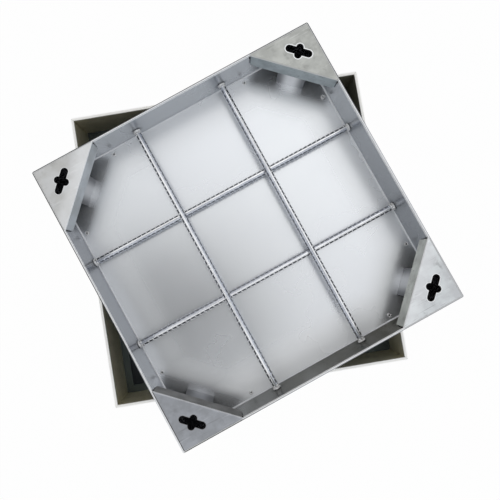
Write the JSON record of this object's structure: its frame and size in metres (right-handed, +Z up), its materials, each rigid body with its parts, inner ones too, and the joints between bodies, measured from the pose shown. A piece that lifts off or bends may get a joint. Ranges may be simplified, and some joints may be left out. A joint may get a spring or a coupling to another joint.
{
  "type": "recessed paving cover",
  "caption": "Recessed square paving cover: open sheet-steel tray with ribbed bars and keyhole corner plates, laid at an angle on its own square angle frame.",
  "frame": {"origin": "centre of the square frame, on the ground under its angles", "axes": "+Z up out of the open tray; X and Y run along the tray's sides, and the frame below is turned 19.5 degrees clockwise from them"},
  "size_m": [0.765, 0.765, 0.195],
  "materials": {
    "tray_steel": "bright cold-rolled sheet, soft cloudy reflection",
    "plate_steel": "finely ground sheet, dull silver with light scuffs",
    "key_box_steel": "plain cold-rolled sheet",
    "bar_steel": "rolled ribbed bar, bright",
    "weld_metal": "weld metal, brushed",
    "frame_steel": "dull sheet with a warm grey cast"
  },
  "bodies": {
    "root": {"tray_pan": "tray_steel", "corner_plate_rear_right": "plate_steel", "corner_plate_rear_left": "plate_steel", "corner_plate_front_left": "plate_steel", "corner_plate_front_right": "plate_steel", "key_box_rear_right": "key_box_steel", "key_box_rear_left": "key_box_steel", "key_box_front_left": "key_box_steel", "key_box_front_right": "key_box_steel", "lower_bar_rear": "bar_steel", "lower_bar_front": "bar_steel", "upper_bar_left": "bar_steel", "upper_bar_right": "bar_steel", "frame_side_rear": "frame_steel", "frame_side_left": "frame_steel", "frame_side_front": "frame_steel", "frame_side_right": "frame_steel", "bar_end_welds": "weld_metal", "bar_crossing_welds": "weld_metal", "lip_tack_welds": "weld_metal", "floor_weld_buttons": "weld_metal", "tray_corner_welds": "weld_metal", "frame_corner_welds": "weld_metal"}
  },
  "joints": []
}
